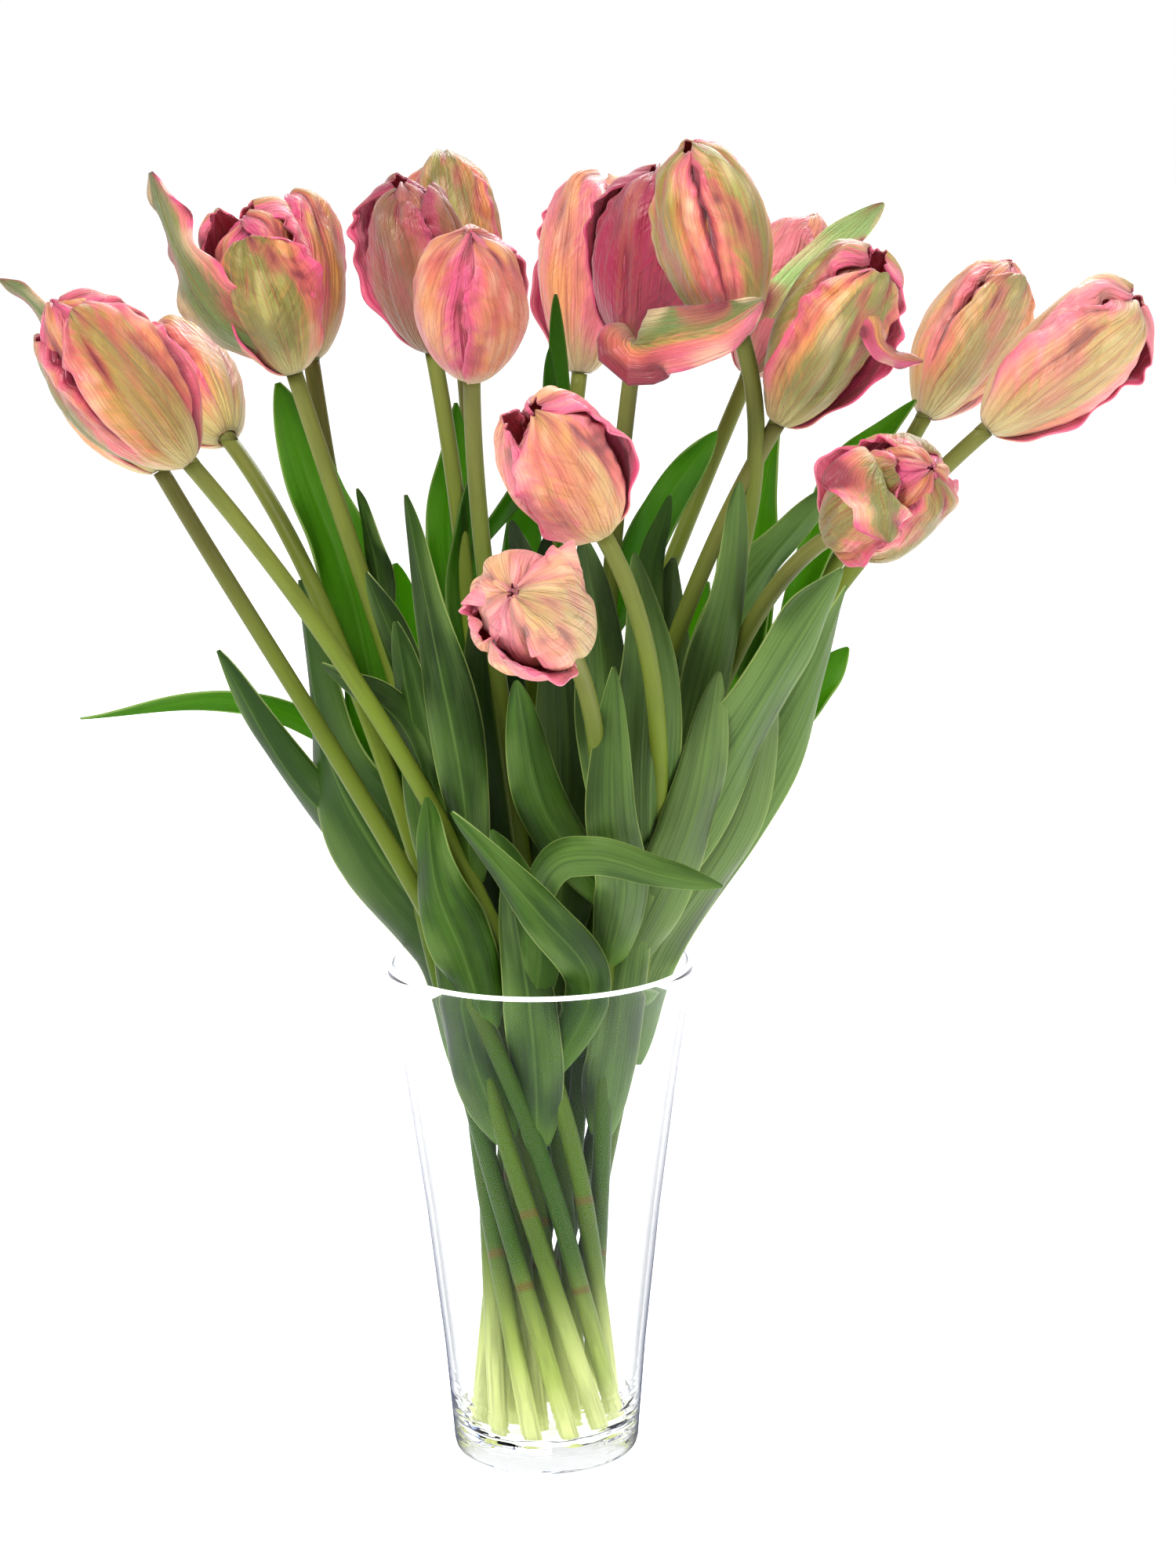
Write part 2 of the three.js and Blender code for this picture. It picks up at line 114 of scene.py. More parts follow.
class Tree:
    """The shader nodes of one material or of the world."""

    def __init__(self, owner):
        owner.use_nodes = True
        self.tree = owner.node_tree
        self.tree.nodes.clear()

    def node(self, kind, settings=None, sockets=None, output=0):
        """Add a node: its settings first, then the values or links of its sockets."""
        made = self.tree.nodes.new(kind)
        for name, value in (settings or {}).items():
            setattr(made, name, value)
        for key, value in (sockets or {}).items():
            if isinstance(value, Sock):
                self.tree.links.new(value.socket, made.inputs[key])
            else:
                made.inputs[key].default_value = value
        return Sock(self, made.outputs[output])

    def finish(self, shader, kind="ShaderNodeOutputMaterial"):
        """End the tree with a shader."""
        last = self.tree.nodes.new(kind)
        self.tree.links.new(shader.socket, last.inputs["Surface"])

    def part(self, vector, axis):
        """One of the parts X, Y and Z of a vector."""
        return self.node("ShaderNodeSeparateXYZ", None, {"Vector": vector}, axis)

    def ray(self, kind):
        """A mask that is 1 for one kind of light ray, such as Camera or Shadow."""
        return self.node("ShaderNodeLightPath", output="Is " + kind + " Ray")

    def value(self, name):
        """A value that the vertices of the mesh carry under this name."""
        return self.node("ShaderNodeAttribute", {"attribute_name": name}, None, "Fac")

    def noise(self, x, y, z, detail=2.0):
        """Soft noise round 0.5, with about one wave for each unit of x, y and z."""
        place = self.node("ShaderNodeCombineXYZ", None, {"X": x, "Y": y, "Z": z})
        return self.node("ShaderNodeTexNoise", None, {"Vector": place, "Scale": 1.0, "Detail": detail})

    def mix(self, factor, a, b, label=""):
        """A colour that goes from a to b; the Mix node's colours are its sockets 6 and 7."""
        settings = {"data_type": "RGBA", "label": label}
        return self.node("ShaderNodeMix", settings, {0: factor, 6: a, 7: b}, 2)

    def paint(self, colour, *layers):
        """Lay named layers over a colour, each with its own cover and coat."""
        for name, cover, coat in layers:
            colour = self.mix(cover, colour, coat, name)
        return colour

    def blend(self, factor, first, second):
        """A shader that goes from the first to the second."""
        return self.node("ShaderNodeMixShader", None, {0: factor, 1: first, 2: second})


def rgb(red, green, blue):
    """A colour as it looks on screen, turned into the linear values that shaders take."""
    linear = (c / 12.92 if c <= 0.04045 else ((c + 0.055) / 1.055) ** 2.4 for c in (red, green, blue))
    return (*linear, 1.0)


def new_object(name, bm, materials):
    """Turn a finished bmesh into an object of the scene, at the origin."""
    mesh = bpy.data.meshes.new(name)
    bm.to_mesh(mesh)
    bm.free()
    for material in materials:
        mesh.materials.append(material)
    made = bpy.data.objects.new(name, mesh)
    scene.collection.objects.link(made)
    return made


WHITE = rgb(1.0, 1.0, 1.0)
FLOOR_REACH = 14
FLOOR_DROP = 0.0003
LAMPS = (
    # name, place, point it is aimed at, width, power
    ("key", (-0.9, -1.5, 2.1), (0, 0, 0.4), 0.7, 60),
    ("fill", (1.7, -1.0, 1.4), (0, 0, 0.4), 0.9, 22),
    ("back", (0.4, 1.6, 1.7), (0, 0, 0.45), 1.2, 40),
)
world = bpy.data.worlds.new("studio")
scene.world = world
tree = Tree(world)
direction = tree.node("ShaderNodeTexCoord", output="Generated")
sides = tree.mix(tree.ray("Glossy"), rgb(0.30, 0.29, 0.27), rgb(0.27, 0.29, 0.31))
around = tree.paint(
    sides,
    ("white wall behind the bunch", tree.part(direction, "Y").rise(0.1, 0.8), WHITE),
    ("pale ceiling", tree.part(direction, "Z").rise(0.3, 0.9), rgb(0.88, 0.88, 0.86)),
    ("white wherever it is seen directly", tree.ray("Camera"), WHITE),
)
background = tree.node("ShaderNodeBackground", None, {"Color": around, "Strength": 1.0})
tree.finish(background, "ShaderNodeOutputWorld")

floor_white = bpy.data.materials.new("floor_white")
tree = Tree(floor_white)
tree.finish(tree.node("ShaderNodeBsdfPrincipled", None, {
    "Base Color": rgb(0.93, 0.93, 0.94),
    "Roughness": 1.0,
    "Specular IOR Level": 0.0,
    "Emission Color": WHITE,
    "Emission Strength": 0.65,
}))
bm = bmesh.new()
bmesh.ops.create_grid(bm, x_segments=2, y_segments=2, size=FLOOR_REACH)
for vert in bm.verts:
    vert.co.z = -FLOOR_DROP
floor = new_object("studio_floor", bm, [floor_white])

for name, place, aim, width, power in LAMPS:
    lamp = bpy.data.lights.new(name, "AREA")
    lamp.size = width
    lamp.energy = power
    holder = bpy.data.objects.new(name, lamp)
    holder.location = place
    towards = np.array(aim, float) - np.array(place, float)
    holder.rotation_euler = (
        math.atan2(math.hypot(towards[0], towards[1]), -towards[2]),
        0,
        math.atan2(towards[1], towards[0]) - math.pi / 2,
    )
    scene.collection.objects.link(holder)

# The vase: clear drawn glass with a thick base, a straight flare, a rounded foot and a rim polished in
# the flame. It is one closed wall, spun round its axis. Each point of its outline gives a radius and a
# height in millimetres, outside from the foot up and inside from the rim down.
VASE_HEIGHT = 250
BASE_THICKNESS = 14
POLISHED_FROM = 248.5
SPIN_STEPS = 160
VASE_OUTSIDE = (
    (0, 0), (38, 0), (41.6, 0.3), (43.6, 1.4), (44.8, 3.2), (45.5, 6),
    (46.4, 18), (49.4, 55), (57, 125), (65.5, 190), (73.4, 244),
    (73.9, 248), (73.7, 249.3), (72.6, VASE_HEIGHT),
)
VASE_INSIDE = (
    (71.6, 249.3), (71.2, 248), (70.8, 244),
    (62.7, 190), (54.2, 125), (46.6, 55), (44.2, 26),
    (42.8, 18.5), (39.5, 15.2), (33, 14.2), (0, BASE_THICKNESS),
)
vase_glass = bpy.data.materials.new("vase_glass")
tree = Tree(vase_glass)
place = tree.node("ShaderNodeTexCoord", output="Object")
x, y, height = (tree.part(place, axis) for axis in "XYZ")
in_base = 1.0 - height.rise(0.02, 0.055)
swirl = tree.noise(x * 26.0, y * 26.0, height * 110.0) * in_base
flow = tree.node("ShaderNodeBump", None, {"Strength": 0.5, "Distance": 0.004, "Height": swirl})
clear = tree.node("ShaderNodeBsdfPrincipled", None, {
    "Base Color": rgb(0.985, 0.992, 0.996),
    "Roughness": 0.0,
    "IOR": 1.47,
    "Transmission Weight": 1.0,
    "Specular Tint": (0.09, 0.10, 0.13, 1.0),
    "Normal": flow,
})
# Shadow and diffuse rays go straight through the glass, so that what stands in it is lit evenly.
straight = tree.node("ShaderNodeBsdfTransparent", None, {"Color": (0.97, 0.98, 0.98, 1.0)})
lit = tree.node("ShaderNodeMath", {"operation": "MAXIMUM"}, {0: tree.ray("Shadow"), 1: tree.ray("Diffuse")})
whole = tree.blend(lit, clear, straight)
# The walls get a painted blue-grey line where they turn away, stronger near the foot: a painted reflection of
# the grey sides.
normal = tree.node("ShaderNodeNewGeometry", output="Normal")
upright = 1.0 - abs(tree.part(normal, "Z")).rise(0.3, 0.6)
edge_on = tree.node("ShaderNodeLayerWeight", None, {"Blend": 0.5}, "Facing")
line = edge_on.rise(0.48, 0.92) * upright * (0.9 - height.rise(0.03, 0.25) * 0.42)
grey = tree.node("ShaderNodeBsdfTransparent", None, {"Color": rgb(0.36, 0.41, 0.54)})
tree.finish(tree.blend(line, whole, grey))

# The rim is painted white: its glow and its white shell over a little clear glass are a painted highlight.
rim_painted_glow = bpy.data.materials.new("rim_painted_glow")
tree = Tree(rim_painted_glow)
sheen = tree.node("ShaderNodeBsdfPrincipled", None, {
    "Base Color": rgb(0.97, 0.98, 0.99),
    "Roughness": 0.15,
    "Emission Color": WHITE,
    "Emission Strength": 0.9,
})
straight = tree.node("ShaderNodeBsdfTransparent", None, {"Color": WHITE})
tree.finish(tree.blend(0.82, straight, sheen))

bm = bmesh.new()
profile = [bm.verts.new((radius / 1000, 0, height / 1000)) for radius, height in VASE_OUTSIDE + VASE_INSIDE]
edges = [bm.edges.new(pair) for pair in zip(profile, profile[1:])]
bmesh.ops.spin(bm, geom=profile + edges, cent=(0, 0, 0), axis=(0, 0, 1), angle=math.tau,
               steps=SPIN_STEPS, use_merge=True)
bmesh.ops.remove_doubles(bm, verts=bm.verts, dist=1e-6)
bmesh.ops.recalc_face_normals(bm, faces=bm.faces)
for face in bm.faces:
    face.smooth = True
    face.material_index = int(face.calc_center_median().z > POLISHED_FROM / 1000)
vase = new_object("glass_vase", bm, [vase_glass, rim_painted_glow])
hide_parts("vase")
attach(vase, "root")

# The stems: cut, round and smooth, standing on the base of the vase. They stand in two rings that turn
# as they rise: each crosses the vase from one side of the foot, through a narrow waist, and leans out to
# its bloom on the other side. Sizes and places are in millimetres and degrees.
OUTER_RING = 27
INNER_RING = 13.5
STEMS = (
    # name, ring, place on the ring, neck under the bloom, point that the bloom faces
    ("01", OUTER_RING, 230, (-153, -70, 499), (-207, -95, 572)),
    ("02", OUTER_RING, 200, (-172, -18, 489), (-214, -10, 563)),
    ("03", OUTER_RING, 170, (-148, 55, 495), (-192, 110, 543)),
    ("04", INNER_RING, 170, (-110, -5, 532), (-132, -18, 611)),
    ("05", OUTER_RING, 140, (-107, 60, 532), (-117, 75, 604)),
    ("06", INNER_RING, 110, (-47, 30, 538), (-60, 20, 619)),
    ("07", OUTER_RING, 110, (-35, 95, 527), (-44, 100, 635)),
    ("08", INNER_RING, 230, (-26, -60, 535), (-24, -105, 602)),
    ("09", OUTER_RING, 80, (22, 105, 520), (34, 120, 614)),
    ("10", INNER_RING, 290, (48, 26, 537), (60, 20, 624)),
    ("11", INNER_RING, 50, (96, -30, 549), (73, -48, 632)),
    ("12", OUTER_RING, 50, (106, 115, 517), (140, 125, 595)),
    ("13", INNER_RING, 350, (113, -20, 508), (158, -35, 587)),
    ("14", OUTER_RING, 20, (189, 65, 501), (233, 80, 575)),
    ("15", OUTER_RING, 350, (212, 0, 502), (277, -10, 561)),
    ("16", OUTER_RING, 320, (135, -70, 463), (177, -130, 502)),
    ("17", OUTER_RING, 290, (31, -125, 473), (2, -160, 531)),
    ("18", OUTER_RING, 260, (12, -150, 431), (-12, -235, 470)),
)
STEM_RADIUS = 4.7
STEM_TAPER = 0.16
STEM_SIDES = 18
SEAT_GAP = 0.3
FOOT_SPREAD = 1.3
FOOT_TURN = 55
WAIST_TURN = 95
WAIST_HEIGHT = 115
LOWER_PULL = 0.36
UPPER_PULL = 0.3
STRAIGHT_END = 6
ROWS_BELOW_WAIST = 11
ROWS_ABOVE_WAIST = 45

# Every vertex carries these values for the shaders: across from -1 to 1 and along from 0 to 1, inner 1 on
# an inner face, green and pink for how strong each colour is, seed to vary the noise, lean for how far
# the flame stands off the middle, tone paler above 0, and relief from -1 in a fold to 1 on a ridge.
VALUES = ("across", "along", "inner", "green", "pink", "seed", "lean", "tone", "relief")


def unit(vector):
    return vector / np.linalg.norm(vector, axis=-1, keepdims=True)


def polar(radius, degrees, height):
    turn = math.radians(degrees)
    return np.array((radius * math.cos(turn), radius * math.sin(turn), height))


def bezier(a, b, c, d, t):
    t = np.asarray(t, float)[..., None]
    return a * (1 - t) ** 3 + 3 * b * t * (1 - t) ** 2 + 3 * c * t * t * (1 - t) + d * t**3


def stem_curve(ring, slot, neck, faces):
    """The foot of a stem, the four handles of its curve above the waist, and its upper end."""
    foot = polar(ring * FOOT_SPREAD, slot + WAIST_TURN + FOOT_TURN, BASE_THICKNESS + SEAT_GAP)
    waist = polar(ring, slot + WAIST_TURN, WAIST_HEIGHT)
    neck = np.array(neck, float)
    axis = unit(np.array(faces, float) - neck)
    end = neck - STRAIGHT_END * axis
    reach = np.linalg.norm(end - waist)
    lower = waist + unit(waist - foot) * reach * LOWER_PULL
    upper = end - axis * reach * UPPER_PULL
    return foot, (waist, lower, upper, end), neck - SEAT_GAP * axis


def new_bmesh():
    bm = bmesh.new()
    for name in VALUES:
        bm.verts.layers.float.new(name)
    return bm


def rod(bm, points, radii, sides, material, begin):
    """A round rod along points: a flat grid rolled up, its seam welded and both ends closed."""
    across = bm.verts.layers.float["across"]
    along = bm.verts.layers.float["along"]
    rows = len(points) - 1
    ahead = unit(np.gradient(points, axis=0))
    side = np.array((1.0, 0.0, 0.0))
    sides_at = []
    for direction in ahead:
        side = unit(side - direction * side.dot(direction))
        sides_at.append(side)
    made = bmesh.ops.create_grid(bm, x_segments=sides, y_segments=rows, size=1.0)["verts"]
    for vert in made:
        turn = math.pi * (vert.co.x + 1)
        j = round((vert.co.y + 1) / 2 * rows)
        other = np.cross(ahead[j], sides_at[j])
        place = points[j] + radii[j] * (sides_at[j] * math.cos(turn) + other * math.sin(turn))
        if j == 0:
            # The lower end is cut level.
            place = place + ahead[j] * (points[0][2] - place[2]) / ahead[j][2]
        vert.co = place / 1000
        vert[across] = math.sin(turn)
        vert[along] = begin + (1 - begin) * j / rows
    bmesh.ops.remove_doubles(bm, verts=made, dist=1e-7)
    faces = {face for vert in made if vert.is_valid for face in vert.link_faces}
    rims = [edge for edge in {e for face in faces for e in face.edges} if edge.is_boundary]
    caps = bmesh.ops.holes_fill(bm, edges=rims)["faces"]
    bmesh.ops.recalc_face_normals(bm, faces=list(faces) + caps)
    for face in list(faces) + caps:
        face.material_index = material
        face.smooth = len(face.verts) == 4


stem_green = bpy.data.materials.new("stem_green")
tree = Tree(stem_green)
across = tree.value("across")
along = tree.value("along")
age = tree.value("seed")
mottle = tree.noise(across * 5.0, along * 16.0, age * 9.0, 4.0)
scar = 1.0 - abs(along - 0.14 - age * 0.1 + across * 0.004).rise(0.001, 0.006)
colour = tree.paint(
    rgb(0.66, 0.72, 0.34),
    # Inside the vase the stems are darker green: partly their own fresh green, partly painted shade among the
    # crowded stems.
    ("darker green and painted shade in the vase", along.rise(0.03, 0.20), rgb(0.17, 0.30, 0.03)),
    ("duller above the rim", along.rise(0.3, 0.6), rgb(0.35, 0.41, 0.12)),
    ("browner under the bloom", along.rise(0.7, 1.0), rgb(0.42, 0.41, 0.22)),
    ("older stems yellower", age * 0.32, rgb(0.47, 0.55, 0.16)),
    ("pale foot", (1.0 - along.rise(0.01, 0.06 + age * 0.12)) * 0.8, rgb(0.88, 0.90, 0.60)),
    ("scar of a fallen leaf", scar * 0.7, rgb(0.40, 0.30, 0.12)),
    ("mottle", mottle.rise(0.4, 0.7) * 0.35, rgb(0.30, 0.34, 0.15)),
)
bump = tree.node("ShaderNodeBump", None, {"Strength": 0.12, "Distance": 0.0005, "Height": mottle})
tree.finish(tree.node("ShaderNodeBsdfPrincipled", None, {
    "Base Color": colour,
    "Roughness": 0.38,
    "Specular IOR Level": 0.12,
    "Normal": bump,
}))

# The leaves: long waxy grey-green blades with a channel, fine parallel veins and a thin pale edge. Each
# grows from the stem that passes nearest to its first point, follows the other points to its tip, and is
# made in one piece with that stem. Sizes and places are in millimetres and degrees.
LEAVES = (
    # points of the midrib, half width, twist
    (((-28, 2, 190), (-41, 0, 250), (-76, 4, 300), (-100, 6, 352), (-111, 8, 433)), 25, 25),
    (((-30, 18, 205), (-46, 20, 250), (-78, 22, 290), (-118, 20, 335), (-152, 18, 398)), 16, 10),
    (((-48, 34, 300), (-100, 42, 350), (-152, 40, 370), (-222, 36, 362)), 6, 60),
    (((-52, 20, 340), (-87, 22, 420), (-104, 28, 470), (-121, 30, 524)), 17, 25),
    (((-66, 8, 400), (-75, 10, 440), (-83, 10, 476)), 6, 20),
    (((-40, -8, 330), (-56, -14, 378), (-78, -16, 440)), 10, 10),
    (((-46, -30, 330), (-62, -38, 372), (-98, -42, 402)), 9, 20),
    (((-27, -50, 300), (-34, -58, 350), (-44, -60, 410), (-57, -54, 481)), 12, 20),
    (((-34, 44, 380), (-42, 62, 440), (-38, 66, 510)), 13, -20),
    (((-30, 24, 380), (-34, 32, 425), (-27, 34, 486)), 10, 15),
    (((-6, 34, 380), (-10, 48, 425), (-5, 52, 478)), 11, -15),
    (((4, -20, 400), (-4, -30, 435), (-10, -34, 466)), 7, 10),
    (((8, 8, 380), (6, 4, 420), (6, 0, 455)), 7, 0),
    (((34, -44, 345), (31, -58, 400), (23, -60, 463)), 12, 15),
    (((34, -52, 250), (40, -78, 300), (35, -90, 340), (36, -88, 407)), 13, -10),
    (((46, -46, 280), (52, -66, 342), (54, -72, 400), (46, -66, 455)), 15, -20),
    (((56, -20, 300), (76, -32, 370), (90, -36, 430), (95, -36, 483)), 11, 20),
    (((58, -34, 285), (82, -52, 345), (112, -62, 400), (140, -60, 446)), 18, -25),
    (((40, -8, 200), (49, -8, 250), (92, -14, 318), (124, -12, 375), (146, -8, 430)), 21, -30),
    (((84, 18, 320), (126, 26, 365), (150, 30, 394)), 11, 0),
    (((72, 14, 370), (104, 20, 428), (142, 22, 473)), 13, -20),
    (((84, 46, 380), (106, 62, 435), (118, 66, 500)), 14, 20),
    (((46, 34, 400), (62, 48, 460), (88, 56, 496)), 10, -20),
    (((46, 6, 390), (54, 6, 430), (64, 4, 472)), 7, 10),
    (((100, 34, 410), (148, 44, 470), (182, 36, 512)), 10, 30),
    (((8, 60, 440), (12, 66, 500), (11, 62, 562)), 6, 10),
    (((2, 40, 440), (4, 46, 490), (8, 44, 538)), 5, 0),
    (((8, -48, 255), (4, -84, 310), (26, -100, 323), (56, -102, 315), (84, -98, 308)), 9, -40),
    (((-14, -38, 225), (-34, -52, 262), (-46, -62, 300), (-50, -60, 342)), 15, 20),
    (((6, -44, 230), (0, -64, 280), (-20, -80, 331)), 10, 10),
    (((10, -44, 290), (2, -62, 340), (-8, -70, 398)), 12, -10),
    (((18, -42, 200), (24, -60, 252), (0, -92, 296), (-37, -104, 345)), 11, 30),
    (((0, 30, 220), (2, 60, 300), (6, 78, 370), (0, 88, 440)), 20, 20),
    (((-25, 30, 220), (-46, 58, 300), (-62, 72, 370), (-70, 78, 430)), 19, -20),
    (((30, 28, 220), (52, 52, 300), (70, 66, 360), (84, 74, 420)), 20, 20),
    (((-22, -20, 230), (-36, -32, 290), (-52, -38, 350), (-64, -36, 420)), 17, 20),
    (((-10, 5, 230), (-14, 0, 300), (-20, -6, 370), (-22, -8, 440)), 19, -20),
    (((10, -10, 230), (12, -20, 300), (14, -26, 360), (10, -30, 430)), 18, 20),
    (((30, 10, 230), (44, 16, 300), (58, 20, 370), (66, 20, 440)), 19, -20),
    (((40, 25, 240), (70, 42, 310), (96, 50, 370), (112, 54, 430)), 18, 20),
    (((-35, 10, 240), (-62, 32, 310), (-84, 44, 370), (-98, 50, 440)), 17, -20),
    (((36, -30, 240), (56, -52, 290), (74, -64, 340), (84, -64, 400)), 15, 20),
    (((46, -20, 230), (56, -26, 262), (94, -34, 325), (114, -30, 398)), 16, -10),
    (((-16, -24, 165), (-30, -34, 205), (-38, -40, 250), (-48, -56, 330)), 14, 15),
    (((4, -27, 165), (-2, -42, 205), (-6, -50, 250), (-14, -66, 310)), 13, -15),
    (((22, -16, 165), (34, -30, 205), (40, -40, 250), (52, -60, 320)), 13, 20),
)
LEAF_THICKNESS = 1.0
LEAF_FRILL = 0.05
BUNCH_MIDDLE = 8
FACES_FRONT = 25
LIT_FROM_BEHIND = 28
TRACK_STEPS = 60


def midrib(points, t):
    """A smooth line through the points, t running evenly from one to the next."""
    points = np.array(points, float)
    padded = np.vstack((2 * points[0] - points[1], points, 2 * points[-1] - points[-2]))
    place = np.clip(np.asarray(t, float), 0, 1) * (len(points) - 1)
    k = np.minimum(place.astype(int), len(points) - 2)
    w = (place - k)[..., None]
    p0, p1, p2, p3 = (padded[k + n] for n in range(4))
    m1 = (p2 - p0) / 2
    m2 = (p3 - p1) / 2
    return p1 + m1 * w + (3 * (p2 - p1) - 2 * m1 - m2) * w**2 + (2 * (p1 - p2) + m1 + m2) * w**3


def strap(points, half, twist, seed, frill):
    """The surface of a leaf or a loose petal: channelled, twisted and waved along its edges."""
    forward = -70.0 if points[-1][1] < FACES_FRONT else 70.0

    def surface(s, t):
        here = midrib(points, t)
        along = unit(midrib(points, t + 1e-4) - midrib(points, t - 1e-4))
        sideways = 0.4 * (here[..., 0] - BUNCH_MIDDLE)
        outward = np.stack((sideways, np.full(s.shape, forward), np.full(s.shape, 10.0)), axis=-1)
        across = unit(np.cross(along, unit(outward)))
        face = np.cross(across, along)
        turn = math.radians(twist) * (t * t - 0.25)
        turn = turn[..., None]
        width = across * np.cos(turn) + face * np.sin(turn)
        depth = face * np.cos(turn) - across * np.sin(turn)
        outline = 0.12 * (1 - t) ** 3 + np.sin(math.pi * (0.03 + 0.94 * t) ** 0.88) ** 0.66
        reach = half * np.maximum(0.06, outline * np.sqrt(1 - 0.9 * t**22))
        wave = 0.26 * s * np.sin(math.tau * (1.5 * t + seed))
        wave = wave + 0.15 * np.abs(s) ** 3 * np.sin(13 * t + 5 * seed)
        wave = wave + frill * np.abs(s) ** 4 * np.sin(27 * t + 9 * seed) * t
        groove = 0.07 * np.exp(-((s / 0.1) ** 2)) + 0.012 * np.sin(15 * s)
        channel = (0.52 - 0.25 * t) * s * s
        lift = reach * (groove - channel + wave)
        place = here + width * (s * reach * 0.97)[..., None] + depth * lift[..., None]
        return place, np.clip(wave * 4, -1, 1)

    return surface


def blade(bm, surface, thickness, columns, rows, material, values):
    """A thin closed slab on a surface of s across and t along, with both faces shaped alike."""
    s, t = np.meshgrid(np.linspace(-1, 1, columns + 1), np.linspace(0, 1, rows + 1))
    points, relief = surface(s, t)
    normal = unit(np.cross(np.gradient(points, axis=1), np.gradient(points, axis=0)))
    layers = {name: bm.verts.layers.float[name] for name in VALUES}
    rims = []
    for inner in (0, 1):
        made = bmesh.ops.create_grid(bm, x_segments=columns, y_segments=rows, size=1.0)["verts"]
        offset = thickness * (0.5 - inner)
        for vert in made:
            i = round((vert.co.x + 1) / 2 * columns)
            j = round((vert.co.y + 1) / 2 * rows)
            vert[layers["across"]] = s[j, i]
            vert[layers["along"]] = t[j, i]
            vert[layers["inner"]] = inner
            vert[layers["relief"]] = relief[j, i]
            for name, value in values.items():
                vert[layers[name]] = value
            vert.co = (points[j, i] + normal[j, i] * offset) / 1000
        faces = {face for vert in made for face in vert.link_faces}
        for face in faces:
            face.material_index = material
            face.smooth = True
        rims.extend(edge for edge in {e for face in faces for e in face.edges} if edge.is_boundary)
        if inner:
            bmesh.ops.reverse_faces(bm, faces=list(faces))
    bridged = bmesh.ops.bridge_loops(bm, edges=rims)["faces"]
    for face in bridged:
        face.material_index = material
        face.smooth = True


leaf_green = bpy.data.materials.new("leaf_green")
tree = Tree(leaf_green)
across = tree.value("across")
along = tree.value("along")
seed = tree.value("seed")
relief = tree.value("relief")
tone = tree.value("tone")
fresh = tree.value("green")
patch = tree.noise(across * 1.3, along * 3.0, seed * 17.0)
veins = tree.noise(across * 15.0, along * 1.1, seed * 5.0)
wax = tree.noise(across * 2.4 + 7.0, along * 6.0, seed * 11.0, 3.0)
# The heart of the bunch is a cone of deep shade that opens upwards from inside the vase, in metres.
place = tree.node("ShaderNodeTexCoord", output="Object")
x, y, height = (tree.part(place, axis) for axis in "XYZ")
from_axis = ((x - BUNCH_MIDDLE / 1000) ** 2.0 + y ** 2.0) ** 0.5
heart = 1.0 - (from_axis - (height - 0.2) * 0.2805).rise(-0.05, 0.04)
colour = tree.paint(
    tree.mix(patch.rise(0.3, 0.7), rgb(0.09, 0.17, 0.03), rgb(0.22, 0.34, 0.07)),
    ("waxy grey bloom", wax.rise(0.45, 0.75) * 0.35, rgb(0.36, 0.46, 0.22)),
    # Painted light and shade: leaves further right are painted paler and those on the left darker.
    ("painted light on the right-hand leaves", tone * 0.5, rgb(0.50, 0.60, 0.36)),
    ("painted shade on the left-hand leaves", -tone * 0.9, rgb(0.08, 0.15, 0.04)),
    ("fresh green with the light behind", fresh * 0.55, rgb(0.32, 0.52, 0.08)),
    ("dark veins", veins.rise(0.42, 0.68) * 0.42, rgb(0.10, 0.19, 0.04)),
    # Painted shade in the hollows of the waved leaves and painted light on their crests.
    ("painted shade in the hollows", (-relief).rise(0.0, 0.9) * 0.5, rgb(0.08, 0.15, 0.04)),
    ("painted light on the waves", relief.rise(0.1, 0.9) * 0.32, rgb(0.47, 0.58, 0.30)),
    ("pale midrib", (1.0 - abs(across).rise(0.0, 0.07)) * 0.35, rgb(0.42, 0.54, 0.25)),
    ("thin pale edge", abs(across).rise(0.94, 0.99) * 0.7, rgb(0.62, 0.70, 0.40)),
    ("yellower at the stem", (1.0 - along.rise(0.0, 0.16)) * 0.6, rgb(0.38, 0.54, 0.16)),
    ("shade in the heart of the bunch", heart * 0.88, rgb(0.04, 0.08, 0.03)),
)
bump = tree.node("ShaderNodeBump", None, {"Strength": 0.5, "Distance": 0.0008, "Height": veins})
waxy = tree.node("ShaderNodeBsdfPrincipled", None, {
    "Base Color": colour,
    "Roughness": 0.34 + 0.2 * patch,
    "Specular IOR Level": 0.16,
    "Normal": bump,
})
glow = tree.node("ShaderNodeBsdfTranslucent", None, {"Color": rgb(0.55, 0.80, 0.10)})
tree.finish(tree.blend(0.08 + fresh * 0.34, waxy, glow))

curves = [stem_curve(*row) for _, *row in STEMS]
steps = np.arange(TRACK_STEPS + 1) / TRACK_STEPS
tracks = [bezier(*handles, steps) for _, handles, _ in curves]
leaves_of = [[] for _ in STEMS]
for k, (points, half, twist) in enumerate(LEAVES):
    gaps = [np.linalg.norm(track - np.array(points[0]), axis=1) for track in tracks]
    owner = min(range(len(gaps)), key=lambda i: gaps[i].min())
    root = tracks[owner][gaps[owner].argmin()]
    leaves_of[owner].append((np.vstack((root, points[1:])), half, twist, k * 0.29))

